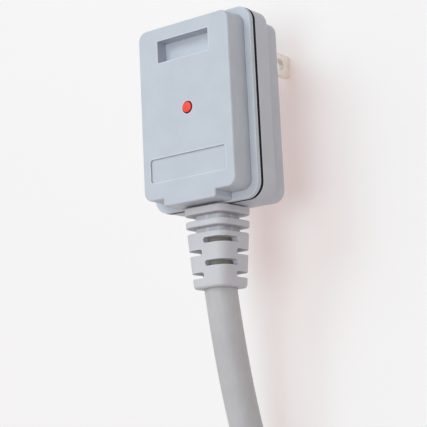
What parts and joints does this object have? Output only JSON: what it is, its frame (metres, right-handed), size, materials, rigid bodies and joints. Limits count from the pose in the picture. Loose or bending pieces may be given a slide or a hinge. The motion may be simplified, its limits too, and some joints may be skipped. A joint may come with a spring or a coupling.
{
  "type": "thermal protection plug",
  "caption": "Two-blade mains plug with a built-in thermal cut-out, a pop-up red reset button, a slotted strain relief and a heavy round lead.",
  "frame": {"origin": "middle of the mating face, halfway between the two blades", "axes": "+Z out of the front face, away from the socket; the blades point along -Z; +Y towards the plug's upper end, so the lead leaves along -Y"},
  "size_m": [0.1698, 0.2438, 0.0376],
  "materials": {
    "front_shell": "fine satin moulded",
    "rear_shell": "fine satin moulded",
    "boot": "soft matt moulded",
    "sheath": "smooth matt",
    "seal": "matt",
    "button_red": "glossy",
    "blade_plate": "plated, lightly brushed",
    "contact_metal": "stamped",
    "contact_silver": "bright",
    "strands": "bare copper",
    "steel": "zinc plated",
    "disc_metal": "rolled bimetal strip",
    "cap_metal": "drawn cup",
    "phenolic": "phenolic moulding",
    "carrier_white": "insulating moulding",
    "core_black": "smooth insulation",
    "core_white": "smooth insulation",
    "tinned": "tin plated",
    "tie_nylon": "moulded nylon"
  },
  "bodies": {
    "plug": {"front_casing": "front_shell", "rear_casing": "rear_shell", "casing_seal": "seal", "casing_screws": "steel", "left_blade": "blade_plate", "right_blade": "blade_plate", "blade_carrier": "carrier_white", "blade_screws": "steel", "thermostat_cap": "cap_metal", "bimetal_disc": "disc_metal", "thermostat_base": "phenolic", "thermostat_cover": "phenolic", "fixed_contact": "contact_silver", "fixed_terminal": "contact_metal", "arm_terminal": "contact_metal", "arm_rivet": "steel", "button_spring": "steel", "strain_relief": "boot", "cord_clamp": "steel", "clamp_screws": "steel", "sheath_entry": "sheath", "black_core": "core_black", "black_strands": "strands", "white_lug": "tinned", "white_core": "core_white", "cord_run": "sheath", "cord_coil": "sheath", "coil_ties": "tie_nylon", "cord_tail": "sheath", "far_black_core": "core_black", "far_white_core": "core_white", "far_terminals": "tinned"},
    "button": {"reset_button": "button_red"},
    "striker": {"striker_pin": "carrier_white"},
    "arm": {"contact_arm": "contact_metal", "moving_contact": "contact_silver"}
  },
  "joints": [
    {"name": "button_slide", "type": "slide", "parent": "plug", "child": "button", "axis": [0, 0, 1], "range_m": [0, 0.001], "stiffness_N_per_m": 120, "springref_m": -0.001, "deforming": ["button_spring"]},
    {"name": "striker_slide", "type": "slide", "parent": "plug", "child": "striker", "axis": [0, 0, 1], "range_m": [0, 0.001]},
    {"name": "arm_hinge", "type": "hinge", "parent": "plug", "child": "arm", "pos_m": [0.00075, -0.0111, 0.00865], "axis": [-1, 0, 0], "range_deg": [0, 11]}
  ],
  "couplings": [
    {"joint": "striker_slide", "follows": "button_slide", "ratio": 1},
    {"joint": "arm_hinge", "follows": "button_slide", "rad_per_m": 189.99}
  ]
}
